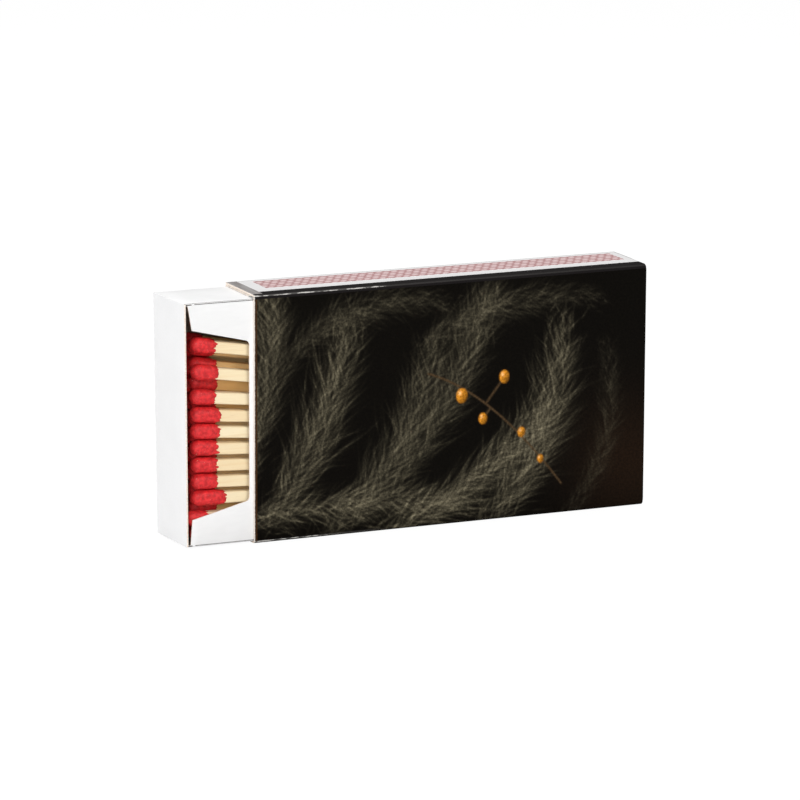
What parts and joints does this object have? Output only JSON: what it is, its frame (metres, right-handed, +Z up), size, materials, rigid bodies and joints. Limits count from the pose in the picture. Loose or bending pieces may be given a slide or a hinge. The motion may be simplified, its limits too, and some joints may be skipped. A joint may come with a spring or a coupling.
{
  "type": "box of safety matches",
  "caption": "Household box of safety matches: a folded card sleeve with striking strips and a sliding windowed tray of red-headed wooden matches, standing on its narrow side.",
  "frame": {"origin": "middle of the sleeve's lower narrow side, on the face that the box stands on", "axes": "+Z up, +X along the sleeve towards its empty end (the tray stands out towards -X), -Y out of the front panel and the tray's window"},
  "size_m": [0.1288, 0.019, 0.0641],
  "materials": {
    "sleeve_card": "satin",
    "striking_coat": "matte",
    "tray_card": "matte",
    "match_splint": "matte",
    "match_head": "matte"
  },
  "bodies": {
    "sleeve": {"sleeve": "sleeve_card", "striker_top": "striking_coat", "striker_bottom": "striking_coat"},
    "tray": {"tray": "tray_card", "match_01": "match_splint", "match_02": "match_splint", "match_03": "match_splint", "match_04": "match_splint", "match_05": "match_splint", "match_06": "match_splint", "match_07": "match_splint", "match_08": "match_splint", "match_09": "match_splint", "match_10": "match_splint", "match_11": "match_splint", "match_12": "match_splint", "match_13": "match_splint", "match_14": "match_splint", "match_15": "match_splint", "match_16": "match_splint", "match_17": "match_splint", "match_18": "match_splint", "match_19": "match_splint", "match_20": "match_splint", "match_21": "match_splint", "match_22": "match_splint", "match_23": "match_splint", "match_24": "match_splint", "match_25": "match_splint", "match_26": "match_splint", "match_27": "match_splint", "match_28": "match_splint", "match_29": "match_splint", "match_30": "match_splint", "match_31": "match_splint", "match_32": "match_splint", "match_33": "match_splint", "match_34": "match_splint", "match_35": "match_splint", "match_36": "match_splint", "match_37": "match_splint", "match_38": "match_splint", "match_39": "match_splint", "match_40": "match_splint", "match_41": "match_splint", "match_42": "match_splint", "match_43": "match_splint", "match_44": "match_splint", "match_45": "match_splint"}
  },
  "joints": [
    {"name": "tray_slide", "type": "slide", "parent": "sleeve", "child": "tray", "axis": [1, 0, 0], "range_m": [-0.0762, 0.1138]}
  ]
}
